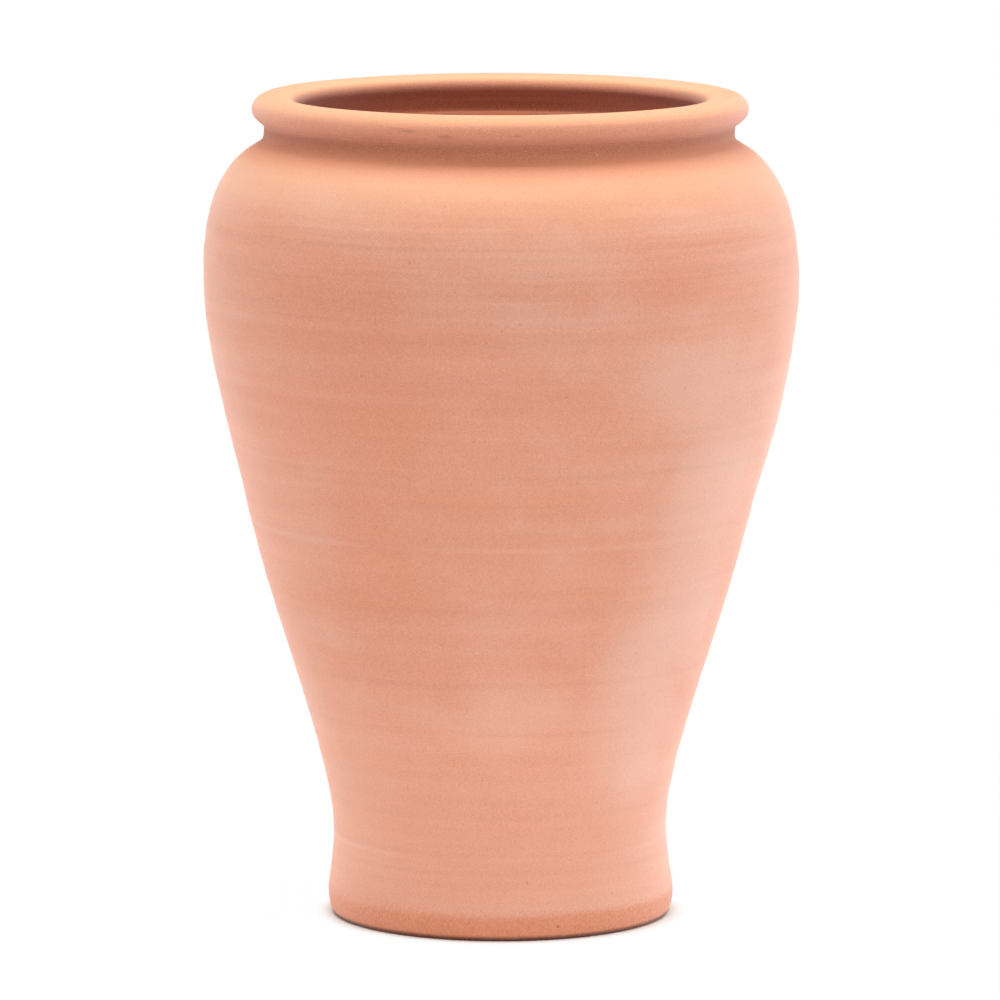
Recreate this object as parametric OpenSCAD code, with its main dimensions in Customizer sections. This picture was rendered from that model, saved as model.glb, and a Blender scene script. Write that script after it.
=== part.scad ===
// Tall terracotta jar planter, thrown in sections that are luted together.
// Each section is a solid of revolution that seats in the grooved edge of the one below it.
// The origin is the centre of the flat underside, with +Z up the axis of the jar.
// An outline is a list of [radius, height] points.

/* [Jar] */
// Height over the rim
jar_h = 500; // [450:5:560]
// Widest diameter, high up on the belly
belly_d = 361; // [340:1:390]
// Narrowest diameter, just above the foot
waist_d = 202.5; // [185:0.5:215]
// Widest diameter of the foot
foot_d = 211; // [205:0.5:230]
// Diameter that stands on the ground
base_d = 201.5; // [195:0.5:207]

/* [Neck and rim] */
// Diameter over the rolled rim
rim_d = 299.5; // [292:0.5:306]
// Clear diameter of the mouth
mouth_d = 246.5; // [240:0.5:250]
// Diameter at the bottom of the groove under the rim
neck_d = 284; // [278:0.5:288]
// Radius of the outer round of the rim
roll_r = 7.75; // [7:0.25:9]
// Radius of the inner round of the rim
lip_r = 6; // [5:0.25:8]
// How far the crown of the rim slopes down towards the mouth
crown_drop = 2.8; // [1:0.2:4]
// Radius of the neck groove on the side of the shoulder
groove_r = 6.25; // [5:0.25:7]
// Radius of the neck groove right under the rim
undercut_r = 2.75; // [2:0.25:4]

/* [Walls] */
// Wall thickness at the foot
wall_foot = 16; // [14:0.5:18]
// Wall thickness from the waist to the belly
wall_side = 12.5; // [11:0.5:15]
// Wall thickness where the shoulder meets the neck
wall_neck = 14; // [12:0.5:15]
// Thickness of the floor
floor_t = 16; // [13:0.5:18]
// Radius of the fillet between floor and wall
floor_fillet = 16; // [12:0.5:20]

/* [Drainage hole] */
// Diameter of the hole in the floor
drain_d = 25; // [16:0.5:40]
// Radius of the smoothed edge inside
drain_round = 3; // [1:0.5:5]

/* [Joints between sections] */
// Height of the trimmed band that the floor slab carries
slab_joint_h = 20; // [19:0.5:22]
// Height of the joint under the waist
foot_joint_h = 50; // [46:1:60]
// Height of the joint at the start of the taper
lower_joint_h = 134; // [110:1:160]
// Height of the joint half way up the wall
middle_joint_h = 242; // [200:1:280]
// Height of the joint above the belly
belly_joint_h = 408; // [400:1:412]
// How far each tongue reaches into the groove below it
key_depth = 4; // [2:0.25:5]

/* [Hidden] */
$fn = 180;

clay = [0.86, 0.59, 0.46];
trimmed_clay = [0.79, 0.49, 0.36];

// Heights of the knots of the outside curve
foot_z = 0.028 * jar_h;
waist_z = 0.108 * jar_h;
taper_z = 0.455 * jar_h;
belly_z = 0.775 * jar_h;
crest_z = jar_h - 35.6;
groove_z = jar_h - 24.2;
undercut_z = jar_h - 20;
ridge_z = jar_h - 26;

// How far the crest of the shoulder stands out past the bottom of the groove
crest_out = 12.25;
// Share of the way from waist to belly that the taper knot has opened out
taper_share = 0.582;

// Lean of the wall, in degrees from upright, outwards positive
taper_lean = 13;
crest_lean = -50.8;
neck_lean = -56;
undercut_lean = 44;

// Knots of the outside curve
foot_knot = [foot_d / 2, foot_z];
waist_knot = [waist_d / 2, waist_z];
taper_knot = [mix(waist_d, belly_d, taper_share) / 2, taper_z];
belly_knot = [belly_d / 2, belly_z];
crest_knot = [neck_d / 2 + crest_out, crest_z];

// Centres of the rounds at the neck and the rim
groove_c = [neck_d / 2 + groove_r, groove_z];
undercut_c = [neck_d / 2 + undercut_r, undercut_z];
roll_c = [rim_d / 2 - roll_r, jar_h - roll_r];
lip_c = [mouth_d / 2 + lip_r, jar_h - crown_drop - lip_r];
lip_start_a = 108;
lip_end_a = 207;
ridge_r = 4;
ridge_c = [mouth_d / 2 + ridge_r, ridge_z];
ridge_start_a = 110;
ridge_end_a = 250;
// How far the crown of the rim, and the hollow between the rim and the ridge, run on
// from the rounds at their two ends
crown_pull = [4, 4];
hollow_pull = [7, 3];

// Shares of the way across a joint where its key starts, is full, and ends
key_start = 0.25;
key_full = [0.4, 0.6];
key_end = 0.75;

// How far the rounded edge under the foot keeps flat before it turns up, and the
// share of the height above it over which it comes upright
edge_pull = 0.8;
edge_rise = 0.68;

function mix(a, b, t) = a + (b - a) * t;
function reversed(v) = [for (i = [len(v) - 1 : -1 : 0]) v[i]];
function but_last(v) = [for (i = [0 : len(v) - 2]) v[i]];
function lean(a) = [sin(a), cos(a)];

function bezier(a, b, c, d, n) = [
    for (i = [0 : n])
        let (t = i / n, s = 1 - t)
        s * s * s * a + 3 * s * s * t * b + 3 * s * t * t * c + t * t * t * d
];

function on_arc(centre, r, a) = centre + r * [cos(a), sin(a)];
function arc(centre, r, from, to, n) = [
    for (i = [0 : n]) on_arc(centre, r, mix(from, to, i / n))
];
// Direction along an arc, anticlockwise
function along_arc(a) = [-sin(a), cos(a)];

// Curve between two knots. Each knot has a lean and a pull, which is the length
// of its handle as a share of the height between the knots.
function stretch(a, lean_a, pull_a, b, lean_b, pull_b, n) =
    let (h = b[1] - a[1])
    bezier(a, a + pull_a * h * lean(lean_a), b - pull_b * h * lean(lean_b), b, n);

// Outside of the wall from the widest part of the foot to the neck groove
neck_foot = on_arc(groove_c, groove_r, 180 - neck_lean);
side_curve = concat(
    stretch(foot_knot, 0, 0.21, waist_knot, 0, 0.53, 16),
    stretch(waist_knot, 0, 0.23, taper_knot, taper_lean, 0.24, 32),
    stretch(taper_knot, taper_lean, 0.24, belly_knot, 0, 0.3, 32),
    stretch(belly_knot, 0, 0.415, crest_knot, crest_lean, 0.345, 32),
    stretch(crest_knot, crest_lean, 0.6, neck_foot, neck_lean, 0.6, 6),
    [neck_foot + 3 * lean(neck_lean)]
);
side_table = [for (p = side_curve) [p[1], p[0]]];
wall_table = [
    [foot_z, wall_foot], [waist_z, wall_side + 1],
    [taper_z, wall_side], [belly_z, wall_side], [neck_foot[1], wall_neck]
];

// Points of the wall at a height on its outside. The inside point lies square
// across the wall, so on the shoulder it is lower than the outside point.
function outside(z) = [lookup(z, side_table), z];
function inward(z) =
    let (d = outside(z + 0.8) - outside(z - 0.8))
    [-d[1], d[0]] / norm(d);
function inside(z) = outside(z) + lookup(z, wall_table) * inward(z);
function steps(z0, z1, pitch) =
    let (n = ceil((z1 - z0) / pitch))
    [for (i = [0 : n]) mix(z0, z1, i / n)];

// Key across a joint, from the outer edge to the inner edge of the wall. The piece
// above has the tongue and the piece below has the groove, and both use these points.
function joint_key(outer, inner) =
    let (
        across = (inner - outer) / norm(inner - outer),
        down = key_depth * [-across[1], across[0]]
    )
    [
        mix(outer, inner, key_start),
        mix(outer, inner, key_full[0]) + down,
        mix(outer, inner, key_full[1]) + down,
        mix(outer, inner, key_end)
    ];
function wall_key(z) = joint_key(outside(z), inside(z));

// Fillet between the floor and the wall, which the slab's joint cuts through
fillet_top = floor_t + floor_fillet;
fillet_c = [inside(fillet_top)[0] - floor_fillet, fillet_top];
slab_seat_a = -asin((fillet_top - slab_joint_h) / floor_fillet);
slab_inner = on_arc(fillet_c, floor_fillet, slab_seat_a);
slab_key = joint_key(outside(slab_joint_h), slab_inner);

// Inner and outer edges of the two joints at the neck
collar_inner = on_arc(ridge_c, ridge_r, ridge_end_a);
collar_key = joint_key(neck_foot, collar_inner);
rim_outer = on_arc(undercut_c, undercut_r, 180 - undercut_lean);
rim_inner = on_arc(lip_c, lip_r, lip_end_a);
rim_key = joint_key(rim_outer, rim_inner);

// Crown of the rim, between its outer and its inner round
lip_start = on_arc(lip_c, lip_r, lip_start_a);
crown = bezier(
    roll_c + [0, roll_r], roll_c + [-crown_pull[0], roll_r],
    lip_start - crown_pull[1] * along_arc(lip_start_a), lip_start, 6
);

// Hollow inside the collar, between the rim and the ridge
ridge_start = on_arc(ridge_c, ridge_r, ridge_start_a);
hollow = bezier(
    rim_inner, rim_inner + hollow_pull[0] * along_arc(lip_end_a),
    ridge_start - hollow_pull[1] * along_arc(ridge_start_a), ridge_start, 8
);

module turned(outline, tint) {
    color(tint)
        rotate_extrude()
            polygon(outline);
}

// A plain ring of the wall between two joints
module wall_ring(z0, z1, pitch) {
    heights = steps(z0, z1, pitch);
    turned(
        concat(
            [for (z = heights) outside(z)],
            wall_key(z1),
            [for (z = reversed(heights)) inside(z)],
            reversed(wall_key(z0))
        ),
        clay
    );
}

// Floor disc with its drainage hole and the trimmed band round its edge
module base_slab() {
    edge = [base_d / 2, 0];
    hole_c = [drain_d / 2 + drain_round, floor_t - drain_round];
    turned(
        concat(
            [[drain_d / 2, 0]],
            bezier(edge, edge + [edge_pull, 0], foot_knot - [0, edge_rise * foot_z], foot_knot, 10),
            [for (z = steps(foot_z + 2, slab_joint_h, 2)) outside(z)],
            slab_key,
            arc(fillet_c, floor_fillet, slab_seat_a, -90, 5),
            arc(hole_c, drain_round, 90, 180, 6)
        ),
        trimmed_clay
    );
}

// Low ring under the waist, with the rest of the floor fillet inside
module foot_ring() {
    heights = steps(slab_joint_h, foot_joint_h, 4);
    upper = steps(fillet_top + 4, foot_joint_h, 4);
    turned(
        concat(
            [for (z = heights) outside(z)],
            wall_key(foot_joint_h),
            [for (z = reversed(upper)) inside(z)],
            arc(fillet_c, floor_fillet, 0, slab_seat_a, 5),
            reversed(slab_key)
        ),
        clay
    );
}

// Ring that opens out from the waist
module lower_wall() {
    wall_ring(foot_joint_h, lower_joint_h, 7);
}

// Straight tapering ring
module middle_wall() {
    wall_ring(lower_joint_h, middle_joint_h, 10);
}

// Widest ring
module belly_wall() {
    wall_ring(middle_joint_h, belly_joint_h, 8);
}

// Dome that closes in from the belly to the neck
module shoulder() {
    heights = steps(belly_joint_h, neck_foot[1], 4);
    turned(
        concat(
            [for (z = heights) outside(z)],
            collar_key,
            [collar_inner],
            [for (z = reversed(heights)) inside(z)],
            reversed(wall_key(belly_joint_h))
        ),
        clay
    );
}

// Short collar with the groove outside, and a hollow over a ridge inside
module neck_collar() {
    turned(
        concat(
            arc(groove_c, groove_r, 180 - neck_lean, 180, 8),
            arc(undercut_c, undercut_r, 180, 180 - undercut_lean, 4),
            rim_key,
            but_last(hollow),
            arc(ridge_c, ridge_r, ridge_start_a, ridge_end_a, 10),
            reversed(collar_key)
        ),
        clay
    );
}

// Rolled rim, round outside and inside, with a broad crown that slopes to the mouth
module rim_roll() {
    turned(
        concat(
            reversed(rim_key),
            [rim_outer],
            but_last(arc(roll_c, roll_r, -undercut_lean, 90, 12)),
            but_last(crown),
            arc(lip_c, lip_r, lip_start_a, lip_end_a, 10)
        ),
        clay
    );
}

base_slab();
foot_ring();
lower_wall();
middle_wall();
belly_wall();
shoulder();
neck_collar();
rim_roll();
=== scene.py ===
import math
import random
import bpy
import numpy as np
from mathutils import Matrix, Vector


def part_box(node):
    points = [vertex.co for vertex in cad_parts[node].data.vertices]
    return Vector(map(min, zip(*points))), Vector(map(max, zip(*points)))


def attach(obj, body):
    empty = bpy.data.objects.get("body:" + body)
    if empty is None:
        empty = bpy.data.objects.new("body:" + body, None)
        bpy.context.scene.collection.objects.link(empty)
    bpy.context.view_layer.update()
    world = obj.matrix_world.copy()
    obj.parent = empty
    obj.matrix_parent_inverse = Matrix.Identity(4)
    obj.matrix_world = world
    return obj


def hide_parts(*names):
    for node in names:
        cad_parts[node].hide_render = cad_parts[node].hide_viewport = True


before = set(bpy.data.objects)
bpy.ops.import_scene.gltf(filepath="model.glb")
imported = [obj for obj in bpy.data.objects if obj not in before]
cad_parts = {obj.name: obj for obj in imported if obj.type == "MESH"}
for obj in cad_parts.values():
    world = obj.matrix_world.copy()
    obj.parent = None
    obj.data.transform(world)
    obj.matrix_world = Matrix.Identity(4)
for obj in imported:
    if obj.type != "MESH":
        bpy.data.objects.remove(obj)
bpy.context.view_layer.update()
bpy.ops.object.select_all(action="DESELECT")
print("frame loaded,", len(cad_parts), "nodes")

# Outline points are Vector((radius, height)) in metres.
# These sizes come from the frame, and the dictionaries below hold the rest.
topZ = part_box("rim_roll")[1].z
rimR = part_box("rim_roll")[1].x
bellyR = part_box("belly_wall")[1].x
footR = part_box("base_slab")[1].x
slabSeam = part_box("base_slab")[1].z

turning = {
    "turns": 16,            # the outline is spun through one part in 16, then that part is copied round
    "flats": 18,            # flats in each of those parts
    "pitch": 0.001,         # between points up the outside
    "innerPitch": 0.0025,   # and up the inside
    "runPoints": 80,        # worked out on each smooth run of the outline
    "weld": 0.000002,       # points closer than this are merged
    "slopeReach": 0.0008,   # how far up and down the lean of the wall is measured
    "smoothAngle": 40,      # degrees, and a sharper edge stays sharp
    "drawIn": 0.0005,       # kept free inside the frame's box, for the uneven skin
}

wall = {
    "footZ": 0.014,
    "waistR": 0.10125,
    "waistZ": 0.054,
    "taperShare": 0.582,    # how far the taper has opened from waist to belly
    "taperZ": 0.2275,
    "taperLean": 13,
    "bellyZ": 0.3875,
    # how hard each run leaves its start and reaches its end: foot to waist, waist to taper, taper to belly
    "pulls": ((0.21, 0.53), (0.23, 0.24), (0.24, 0.3)),
    "thick": ((0.014, 0.016), (0.054, 0.0135), (0.2275, 0.0125), (0.3875, 0.0125), (0.4706, 0.014)),
    "waistSeam": 0.05,
    "taperSeam": 0.134,
    "middleSeam": 0.242,
    "bellySeam": 0.408,
    "keyDepth": 0.004,
    "keyShares": (0.25, 0.4, 0.6, 0.75),
}

neck = {
    "radius": 0.142,
    "grooveR": 0.00625,
    "undercutR": 0.00275,
    "grooveDepth": 0.0242,  # depths are below the top of the rim
    "undercutDepth": 0.02,
    "crestDepth": 0.0356,
    "crestOut": 0.01225,
    "crestLean": -50.8,
    "footLean": -56,
    "pulls": ((0.415, 0.345), (0.6, 0.6)),      # belly to crest, crest to the foot of the neck
    "footRun": 0.003,       # how far the outline is known past the foot of the neck
    "undercutLean": 44,
    "ridgeR": 0.004,
    "ridgeDepth": 0.0265,
    "ridgeStart": 110,
    "ridgeEnd": 250,
    "hollowPulls": (0.0095, 0.002),     # of the hollow between the lip and the ridge
    "groovePitch": 0.0006,
    "undercutPitch": 0.0005,
    "ridgePitch": 0.0008,
    "hollowPoints": 14,
}


def lean(degrees):
    return Vector((math.sin(math.radians(degrees)), math.cos(math.radians(degrees))))


def bezier(a, b, c, d, count):
    points = []
    for i in range(count + 1):
        t = i / count
        s = 1 - t
        points.append(s ** 3 * a + 3 * s ** 2 * t * b + 3 * s * t * t * c + t ** 3 * d)
    return points


def stretch(start, startLean, end, endLean, pulls):
    # one smooth run of the outline; a pull is a share of its rise
    rise = end.y - start.y
    leave = start + pulls[0] * rise * lean(startLean)
    arrive = end - pulls[1] * rise * lean(endLean)
    return bezier(start, leave, arrive, end, turning["runPoints"])


def onArc(centre, radius, degrees):
    return centre + radius * Vector((math.cos(math.radians(degrees)), math.sin(math.radians(degrees))))


def alongArc(degrees):
    return Vector((-math.sin(math.radians(degrees)), math.cos(math.radians(degrees))))


def arc(centre, radius, start, end, pitch=0.001):
    count = max(3, math.ceil(abs(math.radians(end - start)) * radius / pitch))
    return [onArc(centre, radius, start + (end - start) * i / count) for i in range(count + 1)]


def steps(low, high, pitch):
    count = math.ceil((high - low) / pitch)
    return [low + (high - low) * i / count for i in range(count + 1)]


footKnot = Vector((footR - turning["drawIn"], wall["footZ"]))
waistKnot = Vector((wall["waistR"], wall["waistZ"]))
bellyKnot = Vector((bellyR - turning["drawIn"], wall["bellyZ"]))
taperKnot = Vector((waistKnot.x + wall["taperShare"] * (bellyKnot.x - waistKnot.x), wall["taperZ"]))
crestKnot = Vector((neck["radius"] + neck["crestOut"], topZ - neck["crestDepth"]))
grooveC = Vector((neck["radius"] + neck["grooveR"], topZ - neck["grooveDepth"]))
neckFoot = onArc(grooveC, neck["grooveR"], 180 - neck["footLean"])

side = stretch(footKnot, 0, waistKnot, 0, wall["pulls"][0])
side += stretch(waistKnot, 0, taperKnot, wall["taperLean"], wall["pulls"][1])[1:]
side += stretch(taperKnot, wall["taperLean"], bellyKnot, 0, wall["pulls"][2])[1:]
side += stretch(bellyKnot, 0, crestKnot, neck["crestLean"], neck["pulls"][0])[1:]
side += stretch(crestKnot, neck["crestLean"], neckFoot, neck["footLean"], neck["pulls"][1])[1:]
side += [neckFoot + neck["footRun"] * lean(neck["footLean"])]
sideZ = [p.y for p in side]
sideR = [p.x for p in side]

# What the potter's hands left on the turned wall. A mark is (height, half width, how far out).
hands = {
    "seed": 7,
    "swells": ((0.212, 0.012, -0.00022), (0.243, 0.006, 0.00022),
               (0.265, 0.01, -0.00025), (0.299, 0.012, 0.0003)),
    "lines": ((0.423, 0.0018, -0.00005), (0.411, 0.002, -0.00006), (0.386, 0.0014, -0.00004),
              (0.29, 0.0014, -0.00005), (0.238, 0.0014, 0.00005), (0.128, 0.0016, -0.00006),
              (0.058, 0.0014, 0.00005)),
    "seamWidth": 0.0005,
    "seamDepth": 0.00004,
    # fine rings: from and to this height, pitch, depth
    "rings": ((0.022, 0.13, 0.0042, 0.000035), (0.13, 0.33, 0.0036, 0.00002), (0.33, 0.46, 0.0024, 0.00003)),
    "ringWidths": (0.25, 0.45),     # shares of the pitch or of the depth
    "ringDepths": (0.3, 1.6),
    "ringSpacing": (0.6, 1.4),
    "fingerStart": 0.04,
    "fingerPitch": (0.009, 0.014),
    "fingerWidth": 0.33,
    "fingerDepth": 0.0006,
    "fingerDepths": (0.4, 1.0),
    "floorPitch": 0.009,
    "floorDepth": 0.0005,
    "easeIn": 0.003,        # the uneven skin fades out over this length beside a joint
}


def raiseTable(heights, bumps):
    total = np.zeros(len(heights))
    for z, halfWidth, amount in bumps:
        total += amount * np.exp(-((heights - z) / halfWidth) ** 2)
    return total


def ringBumps():
    rng = random.Random(hands["seed"])
    bumps = list(hands["swells"]) + list(hands["lines"])
    for low, high, pitch, depth in hands["rings"]:
        z = low
        while z < high:
            halfWidth = pitch * rng.uniform(*hands["ringWidths"])
            bumps.append((z, halfWidth, -depth * rng.uniform(*hands["ringDepths"])))
            z += pitch * rng.uniform(*hands["ringSpacing"])
    for z in (slabSeam, wall["waistSeam"], wall["taperSeam"], wall["middleSeam"], wall["bellySeam"]):
        bumps.append((z, hands["seamWidth"], -hands["seamDepth"]))
    return bumps


def fingerBumps():
    rng = random.Random(hands["seed"] + 1)
    bumps = []
    z = hands["fingerStart"]
    while z < topZ - neck["crestDepth"]:
        pitch = rng.uniform(*hands["fingerPitch"])
        depth = hands["fingerDepth"] * rng.uniform(*hands["fingerDepths"])
        bumps.append((z, pitch * hands["fingerWidth"], depth))
        z += pitch
    return bumps


heightTable = np.arange(0, topZ + 0.01, 0.0001)
skinTable = raiseTable(heightTable, ringBumps())
fingerTable = raiseTable(heightTable, fingerBumps())


def read(z, heights, values):
    return float(np.interp(z, heights, values))


def plain(z):
    return Vector((read(z, sideZ, sideR), z))


def inward(z):
    climb = (plain(z + turning["slopeReach"]) - plain(z - turning["slopeReach"])).normalized()
    return Vector((-climb.y, climb.x))


def outside(z):
    return plain(z) - read(z, heightTable, skinTable) * inward(z)


def inside(z):
    thick = read(z, [w[0] for w in wall["thick"]], [w[1] for w in wall["thick"]])
    return plain(z) + (thick + read(z, heightTable, fingerTable)) * inward(z)


def key(outer, inner):
    # the groove in the piece below and the tongue on the piece above use these points
    across = (inner - outer).normalized()
    down = wall["keyDepth"] * Vector((-across.y, across.x))
    drops = (0, 1, 1, 0)
    return [outer.lerp(inner, share) + drop * down for share, drop in zip(wall["keyShares"], drops)]


def seamKey(z):
    return key(outside(z), inside(z))


def outerWall(low, high):
    ends = {low + hands["seamWidth"], high - hands["seamWidth"]}
    return [outside(z) for z in sorted(set(steps(low, high, turning["pitch"])) | ends)]


def innerWall(high, low):
    return [inside(z) for z in reversed(steps(low, high, turning["innerPitch"]))]


# An outline is a list of (point, ease). Ease is how much of the uneven skin the point takes.
def still(points):
    return [(p, 0.0) for p in points]


def skin(points):
    # a stretch that shows: full skin, fading out towards the joints at its two ends
    along = [0.0]
    for here, there in zip(points, points[1:]):
        along.append(along[-1] + (there - here).length)
    return [(p, min(1.0, min(a, along[-1] - a) / hands["easeIn"])) for p, a in zip(points, along)]


def turnPiece(name, outline):
    start = outline[0][0]
    bpy.ops.mesh.primitive_plane_add(size=0.001, location=(start.x, 0, start.y))
    piece = bpy.context.object
    piece.name = name
    piece.data.name = name
    bpy.ops.object.transform_apply(location=True, rotation=False, scale=False)
    bpy.ops.object.mode_set(mode="EDIT")
    bpy.ops.mesh.merge(type="CENTER")
    for (here, _), (there, _) in zip(outline, outline[1:] + outline[:1]):
        move = there - here
        bpy.ops.mesh.extrude_region_move(TRANSFORM_OT_translate={"value": (move.x, 0, move.y)})
    bpy.ops.object.mode_set(mode="OBJECT")
    group = piece.vertex_groups.new(name="skin")
    for vertex in piece.data.vertices:
        spot = Vector((vertex.co.x, vertex.co.z))
        nearest = min(outline, key=lambda entry: (entry[0] - spot).length_squared)
        group.add([vertex.index], nearest[1], "REPLACE")
    bpy.ops.object.mode_set(mode="EDIT")
    bpy.ops.mesh.select_all(action="SELECT")
    bpy.ops.mesh.remove_doubles(threshold=turning["weld"])
    share = 2 * math.pi / turning["turns"]
    bpy.ops.mesh.spin(steps=turning["flats"], angle=share, center=(0, 0, 0), axis=(0, 0, 1))
    bpy.ops.mesh.select_all(action="SELECT")
    rest = 2 * math.pi - share
    bpy.ops.mesh.spin(steps=turning["turns"] - 1, angle=rest, center=(0, 0, 0), axis=(0, 0, 1), dupli=True)
    bpy.ops.mesh.select_all(action="SELECT")
    bpy.ops.mesh.remove_doubles(threshold=turning["weld"])
    bpy.ops.mesh.normals_make_consistent(inside=False)
    bpy.ops.object.mode_set(mode="OBJECT")
    return piece


# How a thrown pot is never quite round: each layer pushes the skin along a direction by a soft noise.
# blob is the noise's size in metres, round the wall and up it.
uneven = {
    "layers": (
        # name, blob round, blob up, direction, push, middle
        ("fineLines", 0.09, 0.0028, "NORMAL", 0.00012, 0.5),
        ("softBands", 0.12, 0.013, "NORMAL", 0.0005, 0.5),
        ("outOfRoundX", 0.2, 0.15, "X", 0.0007, 0.5),
        ("outOfRoundY", 0.17, 0.13, "Y", 0.0007, 0.5),
    ),
    "rimDip": ("rimDip", 0.16, 0.16, "Z", 0.0004, 1.0),
    # the axis wanders as the clay is drawn up: (height, how far towards +X)
    "wander": ((0.0, -0.0004), (0.09, -0.0012), (0.21, -0.001), (0.25, -0.00085), (0.27, -0.0001),
               (0.3, 0.0005), (0.37, 0.0), (0.39, 0.0), (0.41, -0.0006), (0.45, -0.00125),
               (0.47, -0.00145), (0.488, -0.0006), (0.5, -0.0005)),
    "wanderRange": 0.01,
}


def addGuide(name, size, place=(0, 0, 0), turn=(0, 0, 0)):
    bpy.ops.object.empty_add(location=place, rotation=turn)
    guide = bpy.context.object
    guide.name = name
    guide.scale = size
    return guide


def layerTools(name, around, up):
    texture = bpy.data.textures.new(name, "CLOUDS")
    texture.noise_scale = 1
    texture.noise_depth = 1
    return texture, addGuide(name, (around, around, up))


def wanderTools():
    texture = bpy.data.textures.new("wander", "BLEND")
    texture.use_color_ramp = True
    stops = texture.color_ramp
    stops.interpolation = "EASE"
    knots = uneven["wander"]
    for z, _ in knots[1:-1]:
        stops.elements.new(z / topZ)
    for i, (z, shift) in enumerate(knots):
        grey = 0.5 + shift / uneven["wanderRange"]
        stops.elements[i].position = z / topZ
        stops.elements[i].color = (grey, grey, grey, 1)
    half = topZ / 2
    return texture, addGuide("wander", (half, half, half), (0, 0, half), (0, -math.pi / 2, 0))


def push(piece, name, tools, direction, strength, middle, group=""):
    bpy.ops.object.select_all(action="DESELECT")
    piece.select_set(True)
    bpy.context.view_layer.objects.active = piece
    bpy.ops.object.modifier_add(type="DISPLACE")
    layer = piece.modifiers[-1]
    layer.name = name
    layer.texture, layer.texture_coords_object = tools
    layer.texture_coords = "OBJECT"
    layer.direction = direction
    layer.strength = strength
    layer.mid_level = middle
    layer.vertex_group = group
    bpy.ops.object.modifier_apply(modifier=name)


skinTools = {layer[0]: layerTools(*layer[:3]) for layer in uneven["layers"] + (uneven["rimDip"],)}
skinTools["wander"] = wanderTools()
bpy.context.view_layer.update()


def roughUp(piece, atRim=False):
    for name, around, up, direction, strength, middle in uneven["layers"]:
        group = "skin" if direction == "NORMAL" else ""
        push(piece, name, skinTools[name], direction, strength, middle, group)
    if atRim:
        name, around, up, direction, strength, middle = uneven["rimDip"]
        push(piece, name, skinTools[name], direction, strength, middle, "skin")
    push(piece, "wander", skinTools["wander"], "X", uneven["wanderRange"], 0.5)
    piece.vertex_groups.clear()


def finishPiece(piece, node, material):
    roughUp(piece, node == "rim_roll")
    bpy.ops.object.shade_smooth_by_angle(angle=math.radians(turning["smoothAngle"]))
    piece.data.materials.clear()
    piece.data.materials.append(material)
    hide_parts(node)
    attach(piece, "root")
    print("finished", piece.name, len(piece.data.polygons), "faces")


def shade(red, green, blue):
    # a colour as it is read on a screen, 0 to 255, made linear
    linear = [(c / 255 / 12.92 if c < 11 else ((c / 255 + 0.055) / 1.055) ** 2.4) for c in (red, green, blue)]
    return (*linear, 1)


class Wire:
    # one output of a material's node, so that maths on it reads as plain Python

    patchCore = 0.25    # share of a patch that keeps its full strength

    def __init__(self, tree, socket):
        self.tree = tree
        self.socket = socket

    def node(self, kind, settings=None, values=None, output=0):
        made = self.tree.nodes.new(kind)
        for name, value in (settings or {}).items():
            setattr(made, name, value)
        for name, value in (values or {}).items():
            if isinstance(value, Wire):
                self.tree.links.new(value.socket, made.inputs[name])
            else:
                made.inputs[name].default_value = value
        return Wire(self.tree, made.outputs[output])

    def maths(self, operation, first, second=0.0):
        return self.node("ShaderNodeMath", {"operation": operation}, {0: first, 1: second})

    def __add__(self, other):
        return self.maths("ADD", self, other)

    def __radd__(self, other):
        return self.maths("ADD", other, self)

    def __sub__(self, other):
        return self.maths("SUBTRACT", self, other)

    def __rsub__(self, other):
        return self.maths("SUBTRACT", other, self)

    def __mul__(self, other):
        return self.maths("MULTIPLY", self, other)

    def __rmul__(self, other):
        return self.maths("MULTIPLY", other, self)

    def ramp(self, low, high):
        # 0 to 1 as the value goes from low to high, eased at both ends
        return self.node("ShaderNodeMapRange", {"interpolation_type": "SMOOTHSTEP"},
                         {"Value": self, "From Min": low, "From Max": high})

    def noise(self, scale=1.0, detail=2.0, roughness=0.5):
        return self.node("ShaderNodeTexNoise", {}, {"Vector": self, "Scale": scale, "Detail": detail,
                                                   "Roughness": roughness})

    def vector(self, operation, other, output=0):
        return self.node("ShaderNodeVectorMath", {"operation": operation}, {0: self, 1: other}, output)

    def mix(self, other, share):
        # this colour goes over to the other by the share
        return self.node("ShaderNodeMix", {"data_type": "RGBA"}, {"Factor": share, 6: self, 7: other}, 2)

    def lift(self, tone, amount):
        # this colour with a tone added, as much as the amount says
        added = self.node("ShaderNodeVectorMath", {"operation": "SCALE"}, {0: tone, "Scale": amount})
        return self.vector("ADD", added)

    def near(self, centre, reach):
        # 1 at the centre, fading to 0 at the edge of an ellipsoid round it
        away = self.vector("SUBTRACT", centre).vector("DIVIDE", reach).vector("LENGTH", (0, 0, 0), "Value")
        return 1 - away.ramp(self.patchCore, 1.0)

    def band(self, middle, halfWidth):
        # 1 where this value is at the middle, fading to 0 at half a width away
        return 1 - self.maths("ABSOLUTE", self - middle).ramp(0.0, halfWidth)


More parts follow.
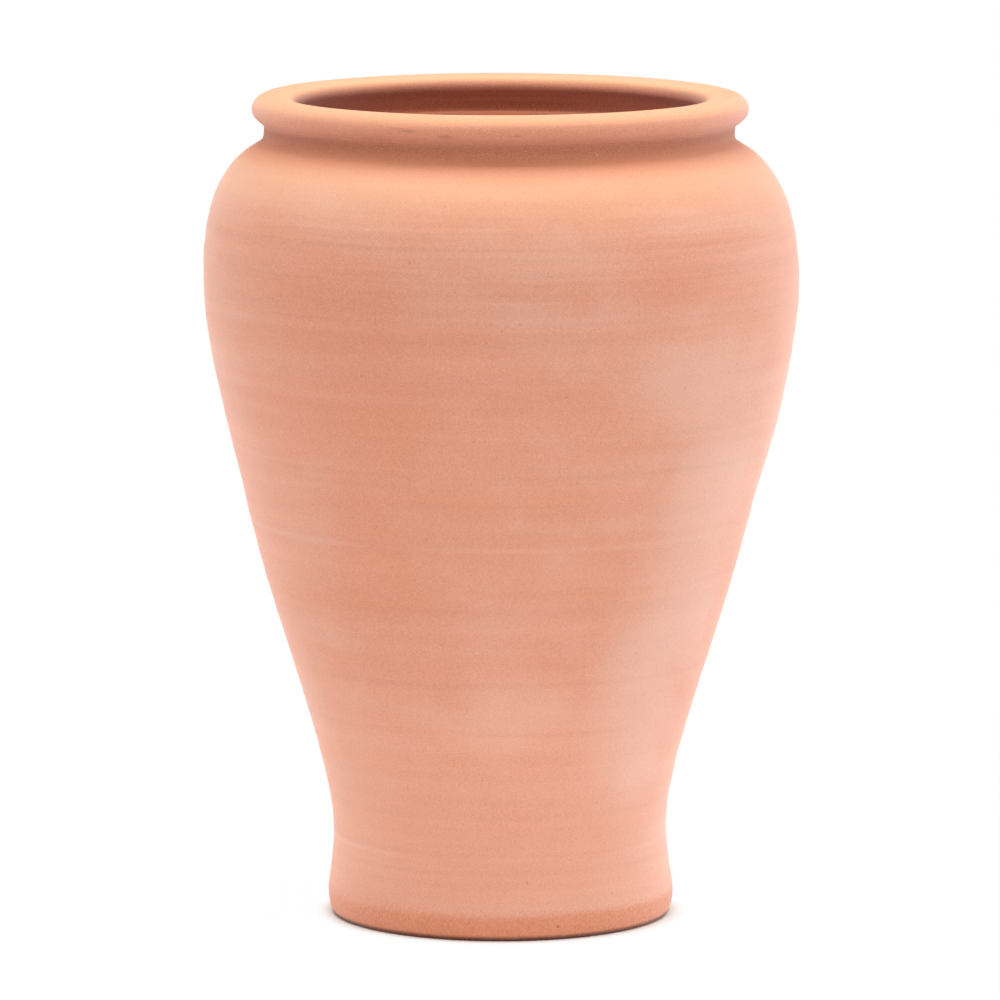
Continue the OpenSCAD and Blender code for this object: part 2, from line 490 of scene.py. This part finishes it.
clay = {
    "mid": shade(222, 158, 132),
    "warm": shade(223, 149, 119),
    "pink": shade(225, 169, 149),
    "bloom": shade(234, 188, 171),
    # a darker clay for lines and marks, also laid on as painted shade in the groove
    "deep": shade(176, 111, 86),
    # painted shade for the inside of the mouth, darker and redder than the clay
    "shadeIn": shade(200, 98, 56),
    # painted warm bounce light, laid on in the shade by the neck and on the roll
    "bounceWarm": shade(222, 141, 104),
    # painted top light: a yellower tone on faces that look up, where the lamps above fall
    "toplitStraw": shade(232, 178, 133),
    "trim": shade(231, 152, 117),
    "speck": shade(120, 66, 48),
    "grog": shade(244, 204, 178),
    # tones added to the clay: an even grey, a slightly warm grey, and a paler foot, partly own colour, partly
    # painted light
    "grainTone": (1.0, 1.0, 0.9),
    "streakTone": (1.3, 1.0, 0.85),
    "paleTone": (0.1, 0.082, 0.07),
    # a noise is (how many per metre round the wall, how many up it)
    "blotch": (13, 17),
    "blotchRamp": (0.36, 0.64),
    "blotchShare": 0.9,
    "cast": (6, 9),
    "castRamp": (0.35, 0.65),
    "castShare": 0.6,
    "bands": (3, 75),
    "bandRamp": (0.35, 0.7),
    "bandShare": 0.45,
    "throwing": (7, 450),
    "throwingRamp": (0.3, 0.7),
    "throwingShare": 0.055,
    "throwingPeak": (0.37, 0.39, 0.43, 0.45),   # fine lines show most between these heights
    "throwingLeast": 0.2,
    "grain": 1250,
    "grainLift": 0.31,
    "calmGrain": 0.35,      # how much less grain shows on faces that look up
    "streaks": (4, 125),
    "streakLift": 0.06,
    "specks": 420,
    "speckRarity": (0.84, 0.88),
    "speckShare": 0.2,
    "grogShift": (5, 3, 1),
    "throwingBump": 0.00003,
    "grainBump": 0.000015,
    "pitBump": 0.0002,
    "roughness": 0.82,
    "specular": 0.3,
    "sheen": 0.4,
    "sheenRoughness": 0.5,
    "sheenTint": shade(218, 212, 211),
    "climbLean": 0.7,
    # which way a face looks: from where the tone starts to where it is full
    "facesUp": (0.1, 0.8),
    "facesIn": (-0.15, -0.8),
    "toplitStrawShares": (0.5, 0.8),          # on the shoulder and on the rim
    "toplitStrawHeights": (0.472, 0.49),
    "footPale": (0.2, 0.05),            # the tone goes from none at the first height to all at the second
    "trimEdge": (0.0125, 0.0185),
    "trimWaves": (14, 14),
    "trimDrift": 0.003,
    "trimShare": 0.9,
    "groove": (0.4805, 0.0118),         # height and half width of the painted shade under the roll
    "grooveRadii": (0.15, 0.156),
    "grooveShade": 0.7,
    "glow": (0.458, 0.472, 0.8),        # painted warm bounce light in the roll's shade, from the first height up to the second
    "glowRadii": (0.158, 0.166),
    "glowTop": (0.478, 0.482),
    "insideShade": 0.42,
    "insideTop": (0.491, 0.5015),       # the painted shade inside fades out over these heights, up the lip
    "insideLines": (6, 260),
    "insideLineRamp": (0.35, 0.65),
    "insideLineShare": 0.25,
    # painted warm bounce light in the roll's shade, most on its outer side: radii, heights and share
    "flank": (0.125, 0.149, 0.486, 0.49, 0.28),
    # painted contact shadow on the edge that stands on the ground: radii and heights
    "contactShadow": (0.0985, 0.1005, 0.001, 0.004),
}

# Marks that show from the front and a few like them behind.
# A patch is a place, its reach and how strong it is.
marks = {
    "blooms": (
        ((0.115, -0.125, 0.345), (0.07, 0.06, 0.05), 0.45),
        ((0.1, -0.085, 0.195), (0.075, 0.06, 0.09), 0.6),
        ((0.07, -0.075, 0.12), (0.05, 0.05, 0.07), 0.5),
        ((0.13, -0.1, 0.275), (0.06, 0.06, 0.05), 0.5),
        ((0.005, -0.12, 0.14), (0.07, 0.06, 0.04), 0.35),
        ((0.015, -0.17, 0.418), (0.08, 0.06, 0.024), 0.25),
        ((0.075, 0.15, 0.3), (0.07, 0.06, 0.09), 0.3),
        ((-0.09, 0.1, 0.21), (0.06, 0.06, 0.08), 0.3),
    ),
    "scorches": (
        ((-0.102, -0.135, 0.4), (0.06, 0.06, 0.03), 0.6),
        ((0.1, -0.14, 0.41), (0.06, 0.06, 0.025), 0.5),
        ((-0.075, -0.15, 0.33), (0.05, 0.06, 0.09), 0.45),
        ((-0.05, -0.12, 0.2), (0.05, 0.05, 0.08), 0.4),
        ((-0.075, -0.12, 0.25), (0.055, 0.06, 0.08), 0.75),
        ((-0.02, -0.1, 0.04), (0.07, 0.05, 0.04), 0.5),
        ((0.0, 0.17, 0.4), (0.09, 0.05, 0.03), 0.5),
        ((0.05, 0.1, 0.16), (0.06, 0.05, 0.07), 0.45),
    ),
    # lines round the jar: height, half width, how strong, and the colour it goes to
    "lines": (
        (0.4235, 0.0035, 0.1, "deep"), (0.4095, 0.004, 0.11, "deep"), (0.3805, 0.003, 0.08, "deep"),
        (0.288, 0.003, 0.08, "deep"), (0.2435, 0.0035, 0.2, "bloom"), (0.128, 0.003, 0.12, "deep"),
        (0.0495, 0.0026, 0.42, "bloom"), (0.4345, 0.003, 0.1, "bloom"), (0.334, 0.005, 0.1, "bloom"),
        (0.041, 0.0022, 0.14, "deep"), (0.075, 0.004, 0.1, "deep"), (0.158, 0.004, 0.1, "deep"),
    ),
    "lineDrift": 0.003,
    "lineWaves": (5, 4),
    "lineBreaks": (9, 30),
    "breakRamp": (0.32, 0.6),
    "swirl": 18.0,          # the noise that makes the patches' edges uneven, and how far it moves them
    "swirlReach": (0.05, 0.05, 0.05),
    "nickShare": 0.5,
    # nicks and scuffs: place, reach, how deep, and the colour it goes to
    "nicks": (
        ((-0.0331, -0.1606, 0.4486), (0.0014, 0.006, 0.0014), 0.0004, "speck"),
        ((-0.0362, -0.1606, 0.4458), (0.0024, 0.006, 0.0009), -0.0003, "grog"),
        ((0.034, -0.0986, 0.0083), (0.0014, 0.004, 0.0012), 0.0003, "speck"),
        ((-0.0575, -0.1365, 0.4925), (0.012, 0.004, 0.0012), -0.0003, "warm"),
        ((-0.0535, -0.1385, 0.4905), (0.009, 0.004, 0.0012), 0.0003, "deep"),
        ((-0.033, -0.1451, 0.4878), (0.006, 0.004, 0.0016), 0.0001, "deep"),
        ((0.0095, -0.1485, 0.4885), (0.004, 0.003, 0.0008), 0.00015, "deep"),
        ((0.09, 0.12, 0.44), (0.0015, 0.004, 0.0024), 0.0004, "deep"),
        ((-0.12, 0.05, 0.27), (0.0015, 0.0015, 0.0015), 0.0003, "speck"),
    ),
    "cutLines": (12, 420),
    "cutCurve": 2,
    "cutHeights": (0.0002, 0.001),
    "cutBump": 0.0003,
}


def terracotta(name, look):
    material = bpy.data.materials.new(name)
    material.use_nodes = True
    tree = material.node_tree
    shader = tree.nodes["Principled BSDF"]
    start = Wire(tree, None)
    place = start.node("ShaderNodeTexCoord", output="Object")
    facing = start.node("ShaderNodeTexCoord", output="Normal")
    x = place.node("ShaderNodeSeparateXYZ", values={0: place}, output="X")
    y = place.node("ShaderNodeSeparateXYZ", values={0: place}, output="Y")
    z = place.node("ShaderNodeSeparateXYZ", values={0: place}, output="Z")
    radius = start.maths("SQRT", x * x + y * y)
    climb = z - radius * look["climbLean"]      # grows all the way up the outside, also over the shoulder
    flat = start.node("ShaderNodeCombineXYZ", values={"X": x, "Y": y})
    outwards = flat.vector("NORMALIZE", (0, 0, 0))
    inwards = facing.vector("DOT_PRODUCT", outwards, "Value").ramp(*look["facesIn"])
    inwards = inwards * (1 - z.ramp(*look["insideTop"]))

    def streaked(density, detail=2.0, roughness=0.5):
        across, up = density
        stretched = {"X": x * across, "Y": y * across, "Z": climb * up}
        return start.node("ShaderNodeCombineXYZ", values=stretched).noise(1.0, detail, roughness)

    blotch = streaked(look["blotch"], 3, 0.55).ramp(*look["blotchRamp"])
    cast = streaked(look["cast"], 2, 0.5).ramp(*look["castRamp"])
    bands = streaked(look["bands"]).ramp(*look["bandRamp"])
    throwing = streaked(look["throwing"], 3, 0.6).ramp(*look["throwingRamp"])
    low, full, fade, high = look["throwingPeak"]
    peak = z.ramp(low, full) * (1 - z.ramp(fade, high))
    throwing = throwing * (look["throwingLeast"] + (1 - look["throwingLeast"]) * peak)
    grain = place.noise(look["grain"], 2, 0.8) - 0.5
    specks = place.noise(look["specks"], 0, 0.5).ramp(*look["speckRarity"])
    grog = place.vector("ADD", look["grogShift"]).noise(look["specks"], 0, 0.5).ramp(*look["speckRarity"])

    colour = start.node("ShaderNodeMix", {"data_type": "RGBA"},
                        {"Factor": blotch * look["blotchShare"], 6: look["mid"], 7: look["pink"]}, 2)
    colour = colour.mix(look["warm"], cast * look["castShare"])
    colour = colour.mix(look["warm"], bands * look["bandShare"])

    # patches of bloom and scorch, with soft uneven edges
    swirl = place.node("ShaderNodeTexNoise", {}, {"Vector": place, "Scale": marks["swirl"]}, "Color")
    swirl = swirl.vector("SUBTRACT", (0.5, 0.5, 0.5)).vector("MULTIPLY", marks["swirlReach"])
    drift = place.vector("ADD", swirl)
    for centre, reach, share in marks["blooms"]:
        colour = colour.mix(look["bloom"], drift.near(centre, reach) * share)
    for centre, reach, share in marks["scorches"]:
        colour = colour.mix(look["warm"], drift.near(centre, reach) * share)

    # lines round the wall that wander a little and come and go
    level = z + (streaked(marks["lineWaves"]) - 0.5) * marks["lineDrift"]
    comes = streaked(marks["lineBreaks"], 3).ramp(*marks["breakRamp"])
    for height, halfWidth, share, tone in marks["lines"]:
        colour = colour.mix(look[tone], level.band(height, halfWidth) * comes * share)
    colour = colour.mix(look["deep"], throwing * look["throwingShare"])

    # zones: paler foot (own colour and painted light), painted top light on upper faces, painted warm bounce
    # light by the neck and on the roll, trimmed band (own colour and painted shade), painted shade in the
    # groove, painted shade inside, painted contact shadow on the ground edge
    # paler towards the foot: partly the clay's own colour, partly painted light
    colour = colour.lift(look["paleTone"], z.ramp(*look["footPale"]))
    colour = colour.lift(look["streakTone"], (streaked(look["streaks"]) - 0.5) * look["streakLift"])
    upwards = place.node("ShaderNodeSeparateXYZ", values={0: facing}, output="Z").ramp(*look["facesUp"])
    glowLow, glowHigh, glowShare = look["glow"]
    glow = z.ramp(glowLow, glowHigh) * (1 - radius.ramp(*look["glowRadii"])) * (1 - z.ramp(*look["glowTop"]))
    below, above = look["toplitStrawShares"]
    # painted top light on faces that look up, more on the rim than on the shoulder
    colour = colour.mix(look["toplitStraw"], upwards * (below + (above - below) * z.ramp(*look["toplitStrawHeights"])))
    # painted warm bounce light where the roll's shade falls on the shoulder
    colour = colour.mix(look["bounceWarm"], glow * glowShare)
    innerSide, outerSide, lowSide, highSide, sideShare = look["flank"]
    flank = radius.ramp(innerSide, outerSide) * z.ramp(lowSide, highSide)
    # painted warm bounce light on the roll, most on its shaded outer side
    colour = colour.mix(look["bounceWarm"], flank * sideShare)
    trimLow, trimHigh = look["trimEdge"]
    edge = z + (streaked(look["trimWaves"], 3) - 0.5) * look["trimDrift"]
    # trimmed band: the scraped clay's own colour, partly painted shade where the foot turns under
    colour = colour.mix(look["trim"], (1 - edge.ramp(trimLow, trimHigh)) * look["trimShare"])
    groove = z.band(*look["groove"]) * (1 - radius.ramp(*look["grooveRadii"]))
    # painted shade in the groove under the roll, in the darker clay colour
    colour = colour.mix(look["deep"], groove * look["grooveShade"])
    # painted shade inside the mouth, on faces that look in
    colour = colour.mix(look["shadeIn"], inwards * look["insideShade"])
    fingers = streaked(look["insideLines"]).ramp(*look["insideLineRamp"])
    colour = colour.mix(look["speck"], inwards * fingers * look["insideLineShare"])
    innerEdge, outerEdge, lowEdge, highEdge = look["contactShadow"]
    # painted contact shadow on the edge that stands on the ground, in the dark speck colour
    colour = colour.mix(look["speck"], radius.ramp(innerEdge, outerEdge) * (1 - z.ramp(lowEdge, highEdge)))
    colour = colour.lift(look["grainTone"], grain * (1 - upwards * look["calmGrain"]) * look["grainLift"])
    colour = colour.mix(look["speck"], specks * look["speckShare"])
    colour = colour.mix(look["grog"], grog * look["speckShare"])

    height = throwing * look["throwingBump"] + grain * look["grainBump"] - specks * look["pitBump"]
    for centre, reach, depth, tone in marks["nicks"]:
        nick = place.near(centre, reach)
        colour = colour.mix(look[tone], nick * marks["nickShare"])
        height = height - nick * depth
    if "cutBump" in look:
        across, along = marks["cutLines"]
        bent = (y + x * x * marks["cutCurve"]) * along
        arcs = start.node("ShaderNodeCombineXYZ", values={"X": x * across, "Y": bent})
        height = height + arcs.noise(1.0, 2, 0.5) * (1 - z.ramp(*marks["cutHeights"])) * look["cutBump"]
    tree.links.new(colour.socket, shader.inputs["Base Color"])
    bump = start.node("ShaderNodeBump", {}, {"Height": height, "Distance": 1.0, "Strength": 1.0})
    tree.links.new(bump.socket, shader.inputs["Normal"])
    shader.inputs["Roughness"].default_value = look["roughness"]
    shader.inputs["Specular IOR Level"].default_value = look["specular"]
    shader.inputs["Sheen Weight"].default_value = look["sheen"]
    shader.inputs["Sheen Roughness"].default_value = look["sheenRoughness"]
    shader.inputs["Sheen Tint"].default_value = look["sheenTint"]
    return material


trimmed = {**clay, "grain": 800, "grainBump": 0.0005, "cutBump": marks["cutBump"]}
thrownClay = terracotta("thrownClay", clay)
trimmedClay = terracotta("trimmedClay", trimmed)
print("materials made")

slab = {
    "baseR": 0.10075,
    "edgePull": 0.0008,     # how far the rounded edge keeps flat before it turns up
    "edgeRise": 0.68,       # share of the height above it over which it comes upright
    "floorT": 0.016,
    "filletR": 0.016,
    "drainR": 0.0125,
    "drainRound": 0.003,
    "underPitch": 0.003,    # between points across the underside
    "cornerPoints": 16,
    "floorPitch": 0.0012,
    "holePitch": 0.0008,
    "filletLead": 0.002,    # the wall's own points stop this far above the fillet
}

filletTop = slab["floorT"] + slab["filletR"]
filletC = Vector((inside(filletTop).x - slab["filletR"], filletTop))
filletCut = -math.degrees(math.asin((filletTop - slabSeam) / slab["filletR"]))
slabInner = onArc(filletC, slab["filletR"], filletCut)
slabKey = key(outside(slabSeam), slabInner)


def floorPoint(r, edgeR):
    # the floor inside keeps the shallow rings of the thrower's fingers
    ring = 0.5 - 0.5 * math.cos(2 * math.pi * r / hands["floorPitch"])
    fade = min(1.0, (edgeR - r) / hands["floorPitch"], (r - slab["drainR"]) / hands["floorPitch"])
    return Vector((r, slab["floorT"] - hands["floorDepth"] * ring * fade))


def baseSlab():
    edge = Vector((slab["baseR"], 0))
    holeC = Vector((slab["drainR"] + slab["drainRound"], slab["floorT"] - slab["drainRound"]))
    under = [Vector((r, 0)) for r in steps(slab["drainR"], slab["baseR"], slab["underPitch"])]
    upright = footKnot - Vector((0, slab["edgeRise"] * wall["footZ"]))
    corner = bezier(edge, edge + Vector((slab["edgePull"], 0)), upright, footKnot, slab["cornerPoints"])
    floor = [floorPoint(r, filletC.x) for r in reversed(steps(holeC.x, filletC.x, slab["floorPitch"]))]
    fillet = arc(filletC, slab["filletR"], filletCut, -90)
    hole = arc(holeC, slab["drainRound"], 90, 180, slab["holePitch"])
    outline = still(under) + skin(corner[1:] + outerWall(wall["footZ"], slabSeam)[1:]) + still(slabKey)
    outline += skin(fillet + floor[1:] + hole[1:])
    return turnPiece("baseSlabClay", outline)


def footRing():
    fillet = arc(filletC, slab["filletR"], 0, filletCut)
    outline = skin(outerWall(slabSeam, wall["waistSeam"])) + still(seamKey(wall["waistSeam"]))
    inner = innerWall(wall["waistSeam"], filletTop + slab["filletLead"]) + fillet
    outline += skin(inner) + still(reversed(slabKey))
    return turnPiece("footRingClay", outline)


def wallRing(name, low, high):
    outline = skin(outerWall(low, high)) + still(seamKey(high))
    outline += skin(innerWall(high, low)) + still(reversed(seamKey(low)))
    return turnPiece(name, outline)


rim = {
    # the roll's arcs run on from each other, flatter on top: radius, from, to
    "rollArcs": ((0.0102, 90, 30), (0.0068, 30, 0), (0.0074, 0, -43)),
    "lipR": 0.0058,
    "crownDrop": 0.0015,    # how far the crown slopes down towards the mouth
    "crownPulls": (0.004, 0.004),
    "crownPoints": 12,
    "flankPoints": 36,
    "mouthR": 0.12325,
    "lipStart": 108,
    "lipEnd": 200,
    # lines on the flank under the roll: share of the way up it, half width, how far out
    "creases": ((0.16, 0.0005, -0.0003), (0.42, 0.0003, -0.00014), (0.7, 0.0003, -0.0001)),
}

undercutC = Vector((neck["radius"] + neck["undercutR"], topZ - neck["undercutDepth"]))
lipC = Vector((rim["mouthR"] + rim["lipR"], topZ - rim["crownDrop"] - rim["lipR"]))
ridgeC = Vector((rim["mouthR"] + neck["ridgeR"], topZ - neck["ridgeDepth"]))
collarInner = onArc(ridgeC, neck["ridgeR"], neck["ridgeEnd"])
collarKey = key(neckFoot, collarInner)
rimOuter = onArc(undercutC, neck["undercutR"], 180 - neck["undercutLean"])
rimInner = onArc(lipC, rim["lipR"], rim["lipEnd"])
rimKey = key(rimOuter, rimInner)


def shoulder():
    outline = skin(outerWall(wall["bellySeam"], neckFoot.y)) + still(collarKey)
    outline += skin([collarInner] + innerWall(neckFoot.y, wall["bellySeam"]))
    outline += still(reversed(seamKey(wall["bellySeam"])))
    return turnPiece("shoulderClay", outline)


def neckCollar():
    groove = arc(grooveC, neck["grooveR"], 180 - neck["footLean"], 180, neck["groovePitch"])
    groove += arc(undercutC, neck["undercutR"], 180, 180 - neck["undercutLean"], neck["undercutPitch"])
    ridge = arc(ridgeC, neck["ridgeR"], neck["ridgeStart"], neck["ridgeEnd"], neck["ridgePitch"])
    down, out = neck["hollowPulls"]
    leave = rimInner + down * alongArc(rim["lipEnd"])
    arrive = ridge[0] - out * alongArc(neck["ridgeStart"])
    hollow = bezier(rimInner, leave, arrive, ridge[0], neck["hollowPoints"])
    outline = skin(groove) + still(rimKey) + skin(hollow[:-1] + ridge) + still(reversed(collarKey))
    return turnPiece("neckCollarClay", outline)


def flankPoint(share, start, end):
    # the straight flank under the roll keeps a crease and two finer lines
    along = start.lerp(end, share)
    away = Vector((end.y - start.y, start.x - end.x)).normalized()
    length = (end - start).length
    dent = 0
    for at, halfWidth, depth in rim["creases"]:
        dent += depth * math.exp(-((share - at) * length / halfWidth) ** 2)
    return along + dent * away


def rollLine():
    points = [Vector((0, topZ))]
    for radius, start, end in rim["rollArcs"]:
        centre = onArc(points[-1], radius, start + 180)
        points += arc(centre, radius, start, end)[1:]
    widest = max(p.x for p in points)
    return [p + Vector((rimR - widest, 0)) for p in reversed(points)]


def rimRoll():
    roll = rollLine()
    flank = [flankPoint(i / rim["flankPoints"], rimOuter, roll[0]) for i in range(rim["flankPoints"])]
    lip = arc(lipC, rim["lipR"], rim["lipStart"], rim["lipEnd"])
    leave = roll[-1] - Vector((rim["crownPulls"][0], 0))
    arrive = lip[0] - rim["crownPulls"][1] * alongArc(rim["lipStart"])
    crown = bezier(roll[-1], leave, arrive, lip[0], rim["crownPoints"])
    outline = still(reversed(rimKey)) + skin(flank + roll + crown[1:-1] + lip)
    return turnPiece("rimRollClay", outline)


finishPiece(baseSlab(), "base_slab", trimmedClay)
finishPiece(footRing(), "foot_ring", thrownClay)
wallRings = (
    ("lowerWallClay", "lower_wall", wall["waistSeam"], wall["taperSeam"]),
    ("middleWallClay", "middle_wall", wall["taperSeam"], wall["middleSeam"]),
    ("bellyWallClay", "belly_wall", wall["middleSeam"], wall["bellySeam"]),
)
for name, node, low, high in wallRings:
    finishPiece(wallRing(name, low, high), node, thrownClay)
finishPiece(shoulder(), "shoulder", thrownClay)
finishPiece(neckCollar(), "neck_collar", thrownClay)
finishPiece(rimRoll(), "rim_roll", thrownClay)
for texture, guide in skinTools.values():
    bpy.data.objects.remove(guide)

studio = {
    "floorSize": 40,
    "floorColour": (0.94, 0.86, 0.79, 1),
    "contact": 0.014,       # how far from the jar the floor keeps its contact shadow
    "contactRamp": (0.3, 0.88),
    "farRamp": (0.3, 0.8),  # beyond these distances from the middle the floor is plain white
    "farShare": 0.985,      # how white it is beside the jar
    "coolLights": ("leftStrip", "rightStrip", "rightBackStrip"),
    "coolColour": (0.8, 1.03, 1.2),
    # each soft light: its place, what it aims at, its width and height, and its power in watts
    "lights": {
        "overhead": ((0, 0, 2.6), (0, 0, 0.27), (2, 2), 32.5),
        "overheadFront": ((0, -0.8, 2.5), (0, 0, 0.25), (2, 2), 15),
        "overheadLeft": ((-1.2, 0, 2.4), (0, 0, 0.27), (1.5, 2), 20.5),
        "overheadRight": ((1.2, 0, 2.4), (0, 0, 0.27), (1.5, 2), 26),
        "topFront": ((0, -2.2, 2.2), (0, 0, 0.25), (1.6, 1.2), 17),
        "leftStrip": ((-2.2, -0.9, 0.25), (0, 0, 0.15), (1.6, 0.4), 6),
        "rightStrip": ((2.2, -0.9, 0.25), (0, 0, 0.15), (1.6, 0.4), 10),
        "rightBackStrip": ((2.2, 0.9, 0.25), (0, 0, 0.15), (1.6, 0.4), 7.5),
        "lowLeft": ((-0.9, 0.35, 0.09), (0, 0, 0.05), (0.8, 0.15), 1.1),
        "lowLeftBack": ((-0.65, 0.65, 0.09), (0, 0, 0.05), (0.8, 0.15), 2.7),
        "lowRightBack": ((0.65, 0.65, 0.09), (0, 0, 0.05), (0.8, 0.15), 3.6),
        "lowFront": ((0, -1.0, 0.09), (0, 0, 0.05), (1.0, 0.15), 0.9),
    },
}
camera = {"place": (-0.0008, -5.022, 0.962), "pitch": 8.04, "lens": 300.96, "sensor": 36, "farthest": 100}


def addFloor():
    bpy.ops.mesh.primitive_plane_add(size=studio["floorSize"], location=(0, 0, 0))
    floor = bpy.context.object
    floor.name = "floor"
    material = bpy.data.materials.new("floorWhite")
    material.use_nodes = True
    tree = material.node_tree
    shader = tree.nodes["Principled BSDF"]
    shader.inputs["Base Color"].default_value = studio["floorColour"]
    shader.inputs["Roughness"].default_value = 1
    shader.inputs["Specular IOR Level"].default_value = 0
    start = Wire(tree, None)
    place = start.node("ShaderNodeTexCoord", output="Object")
    reach = {"Distance": studio["contact"]}
    openness = start.node("ShaderNodeAmbientOcclusion", {"samples": 16}, reach, "AO")
    far = place.vector("LENGTH", (0, 0, 0), "Value").ramp(*studio["farRamp"])
    near = openness.ramp(*studio["contactRamp"]) * studio["farShare"]
    camRay = start.node("ShaderNodeLightPath", output="Is Camera Ray")
    glossRay = start.node("ShaderNodeLightPath", output="Is Glossy Ray")
    seen = start.maths("MAXIMUM", camRay, glossRay) * start.maths("MAXIMUM", far, near)
    white = start.node("ShaderNodeEmission", {}, {"Color": (1, 1, 1, 1), "Strength": 1.0})
    both = start.node("ShaderNodeMixShader", {}, {0: seen, 1: Wire(tree, shader.outputs[0]), 2: white})
    tree.links.new(both.socket, tree.nodes["Material Output"].inputs["Surface"])
    floor.data.materials.append(material)


def addWorld():
    world = bpy.data.worlds.new("whiteRoom")
    bpy.context.scene.world = world
    world.use_nodes = True
    tree = world.node_tree
    tree.nodes.clear()
    start = Wire(tree, None)
    camRay = start.node("ShaderNodeLightPath", output="Is Camera Ray")
    glossRay = start.node("ShaderNodeLightPath", output="Is Glossy Ray")
    seen = start.maths("MAXIMUM", camRay, glossRay)
    light = start.node("ShaderNodeBackground", {}, {"Color": (1, 1, 1, 1), "Strength": seen})
    out = tree.nodes.new("ShaderNodeOutputWorld")
    tree.links.new(light.socket, out.inputs["Surface"])


def addLights():
    for name, (place, aim, (width, height), power) in studio["lights"].items():
        turn = (Vector(aim) - Vector(place)).to_track_quat("-Z", "Y").to_euler()
        bpy.ops.object.light_add(type="AREA", location=place, rotation=turn)
        lamp = bpy.context.object
        lamp.name = name
        lamp.visible_camera = False
        lamp.data.shape = "RECTANGLE"
        lamp.data.size = width
        lamp.data.size_y = height
        lamp.data.energy = power
        if name in studio["coolLights"]:
            lamp.data.color = studio["coolColour"]


def addCamera():
    bpy.ops.object.camera_add(location=camera["place"], rotation=(math.radians(90 - camera["pitch"]), 0, 0))
    view = bpy.context.object
    view.data.lens = camera["lens"]
    view.data.sensor_width = camera["sensor"]
    view.data.clip_end = camera["farthest"]
    bpy.context.scene.camera = view


addFloor()
addWorld()
addLights()
addCamera()
bpy.context.scene.view_settings.view_transform = "Standard"
print("floor, light and camera set")
